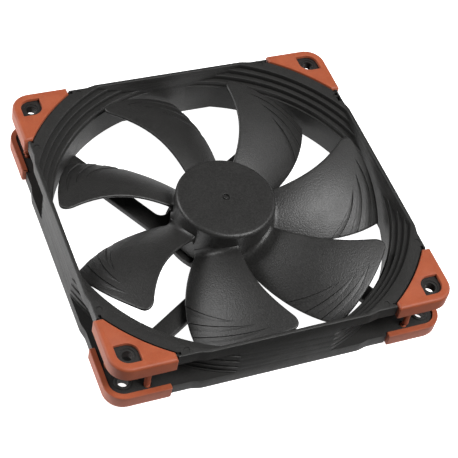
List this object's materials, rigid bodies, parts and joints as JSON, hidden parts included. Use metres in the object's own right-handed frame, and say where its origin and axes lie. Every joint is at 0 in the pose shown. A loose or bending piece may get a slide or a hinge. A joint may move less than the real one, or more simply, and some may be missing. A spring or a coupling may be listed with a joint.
{
  "type": "case fan",
  "caption": "Square ducted axial case fan with a seven-blade impeller on a brushless motor, stepped inlet, angled struts and soft corner pads.",
  "frame": {"origin": "on the fan's axis, in the plane of the rear pads' faces", "axes": "+Z along the axis towards the intake side and hub cap; X and Y along the square's sides"},
  "size_m": [0.14, 0.14, 0.025],
  "materials": {
    "frame_plastic": "fine-grained, glass filled",
    "impeller_plastic": "satin with a faint grain",
    "pad_rubber": "soft matte silicone",
    "yoke_steel": "pressed, plated",
    "magnet_ferrite": "bonded ferrite",
    "brass": "turned",
    "bearing_bronze": "sintered",
    "shaft_steel": "ground",
    "bobbin_nylon": "natural nylon",
    "core_steel": "stacked laminations",
    "coil_copper": "enamelled wire",
    "board_laminate": "lacquered laminate",
    "chip_black": "moulded epoxy",
    "tin_plate": "tinned",
    "label_film": "plain printed film, no lettering"
  },
  "bodies": {
    "housing": {"fan_frame": "frame_plastic", "bearing_tube": "brass", "bearing_sleeve": "bearing_bronze", "retaining_clip": "yoke_steel", "thrust_pad": "bobbin_nylon", "bearing_cap": "bobbin_nylon", "stator_core": "core_steel", "bobbin_lower": "bobbin_nylon", "bobbin_upper": "bobbin_nylon", "circuit_board": "board_laminate", "hall_sensor": "chip_black", "driver_chip": "chip_black", "filter_capacitor": "tin_plate", "lead_terminal": "tin_plate", "rear_label": "label_film", "coil_1": "coil_copper", "front_pad_1": "pad_rubber", "rear_pad_1": "pad_rubber", "coil_2": "coil_copper", "front_pad_2": "pad_rubber", "rear_pad_2": "pad_rubber", "coil_3": "coil_copper", "front_pad_3": "pad_rubber", "rear_pad_3": "pad_rubber", "coil_4": "coil_copper", "front_pad_4": "pad_rubber", "rear_pad_4": "pad_rubber"},
    "rotor": {"impeller": "impeller_plastic", "rotor_yoke": "yoke_steel", "magnet_ring": "magnet_ferrite", "rotor_bush": "brass", "motor_shaft": "shaft_steel", "slinger_ring": "bobbin_nylon"}
  },
  "joints": [
    {"name": "impeller_spin", "type": "hinge", "parent": "housing", "child": "rotor", "pos_m": [0, 0, 0.012], "axis": [0, 0, 1], "continuous": true}
  ]
}
